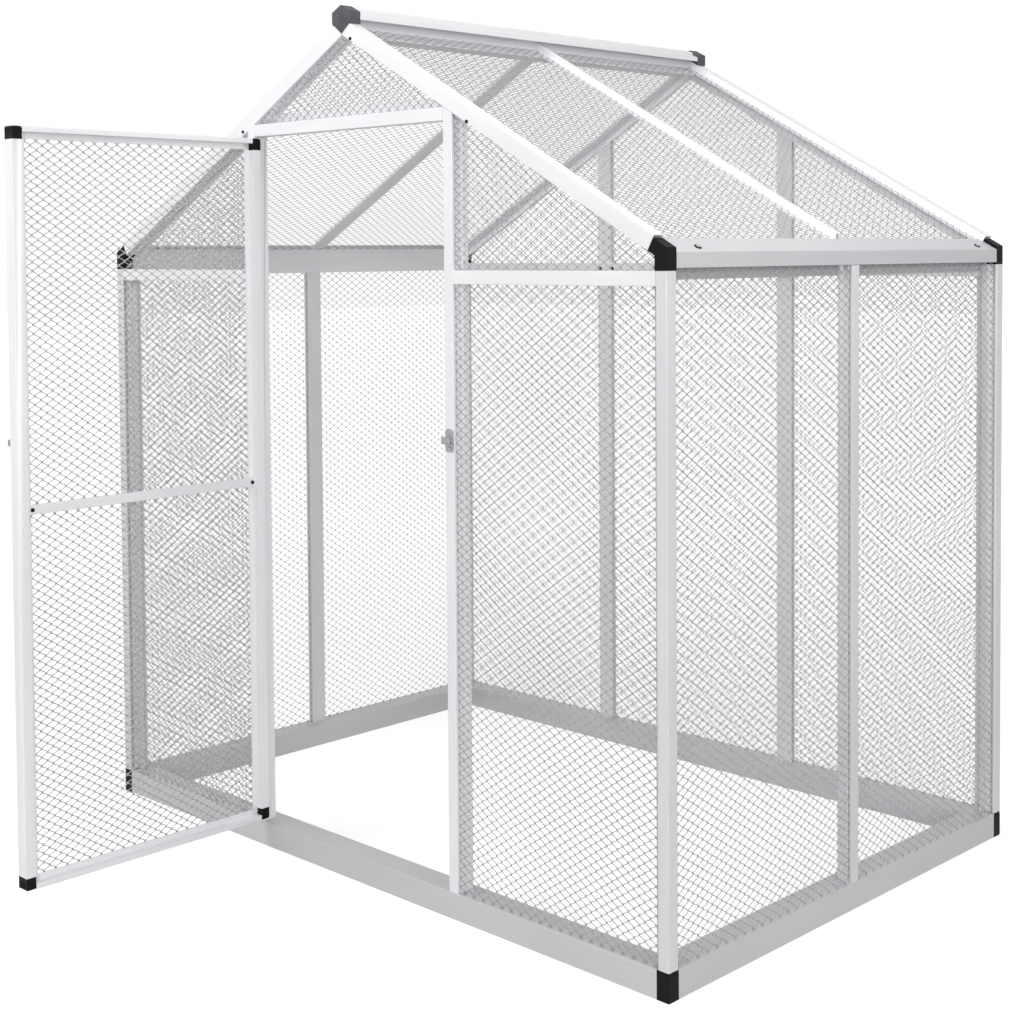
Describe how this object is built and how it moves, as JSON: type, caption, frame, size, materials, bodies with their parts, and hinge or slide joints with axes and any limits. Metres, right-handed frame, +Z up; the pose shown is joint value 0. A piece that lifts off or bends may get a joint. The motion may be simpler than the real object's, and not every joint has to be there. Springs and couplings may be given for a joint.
{
  "type": "aviary",
  "caption": "Walk-in bird aviary: aluminium frame with a gable roof, wire nets on all sides, and a hinged front door with a sliding bolt.",
  "frame": {"origin": "underside of the front base rail, in the middle of its outer foot lip and of the front's width", "axes": "+X to the right along the front, +Y to the rear, +Z up"},
  "size_m": [1.8, 1.8672, 1.9179],
  "materials": {
    "aluminium": "satin, fine brushing along the length",
    "bright_aluminium": "satin, pale",
    "black_plastic": "satin moulded",
    "galvanised_wire": "galvanised",
    "zinc_steel": "zinc plated"
  },
  "bodies": {
    "frame": {"base_rail_front": "aluminium", "base_rail_rear": "aluminium", "base_rail_left": "aluminium", "base_rail_right": "aluminium", "base_cap_front_left": "black_plastic", "base_cap_front_right": "black_plastic", "base_cap_rear_left": "black_plastic", "base_cap_rear_right": "black_plastic", "corner_post_front_left": "aluminium", "corner_post_front_right": "aluminium", "corner_post_rear_left": "aluminium", "corner_post_rear_right": "aluminium", "side_post_left": "aluminium", "side_post_right": "aluminium", "rear_bar_left": "aluminium", "rear_bar_right": "aluminium", "door_jamb_left": "bright_aluminium", "door_jamb_right": "bright_aluminium", "header": "bright_aluminium", "front_tie_left": "bright_aluminium", "front_tie_right": "bright_aluminium", "rear_tie": "bright_aluminium", "eave_beam_left": "aluminium", "eave_beam_right": "aluminium", "eave_cap_front_left": "black_plastic", "eave_cap_front_right": "black_plastic", "eave_cap_rear_left": "black_plastic", "eave_cap_rear_right": "black_plastic", "gable_rafter_front_left": "bright_aluminium", "gable_rafter_front_right": "bright_aluminium", "gable_rafter_rear_left": "bright_aluminium", "gable_rafter_rear_right": "bright_aluminium", "middle_rafter_left": "bright_aluminium", "middle_rafter_right": "bright_aluminium", "ridge_beam": "bright_aluminium", "ridge_cap_front": "black_plastic", "ridge_cap_rear": "black_plastic", "net_front_left": "galvanised_wire", "net_front_right": "galvanised_wire", "net_gable_front": "galvanised_wire", "net_rear_left": "galvanised_wire", "net_rear_middle": "galvanised_wire", "net_rear_right": "galvanised_wire", "net_left_front": "galvanised_wire", "net_left_rear": "galvanised_wire", "net_right_front": "galvanised_wire", "net_right_rear": "galvanised_wire", "net_roof_left_front": "galvanised_wire", "net_roof_left_rear": "galvanised_wire", "net_roof_right_front": "galvanised_wire", "net_roof_right_rear": "galvanised_wire", "bolt_keeper": "zinc_steel"},
    "door": {"door_stile_hinge": "bright_aluminium", "door_stile_free": "bright_aluminium", "door_rail_top": "bright_aluminium", "door_rail_middle": "bright_aluminium", "door_rail_bottom": "bright_aluminium", "net_door": "galvanised_wire", "bolt_sleeve": "zinc_steel"},
    "bolt": {"bolt": "zinc_steel"}
  },
  "joints": [
    {"name": "door_hinge", "type": "hinge", "parent": "frame", "child": "door", "pos_m": [-0.3168, -0.0082, 0.858], "axis": [0, 0, 1], "range_deg": [-10, 90]},
    {"name": "bolt_slide", "type": "slide", "parent": "door", "child": "bolt", "axis": [0, -1, 0], "range_m": [0, 0.018]}
  ]
}
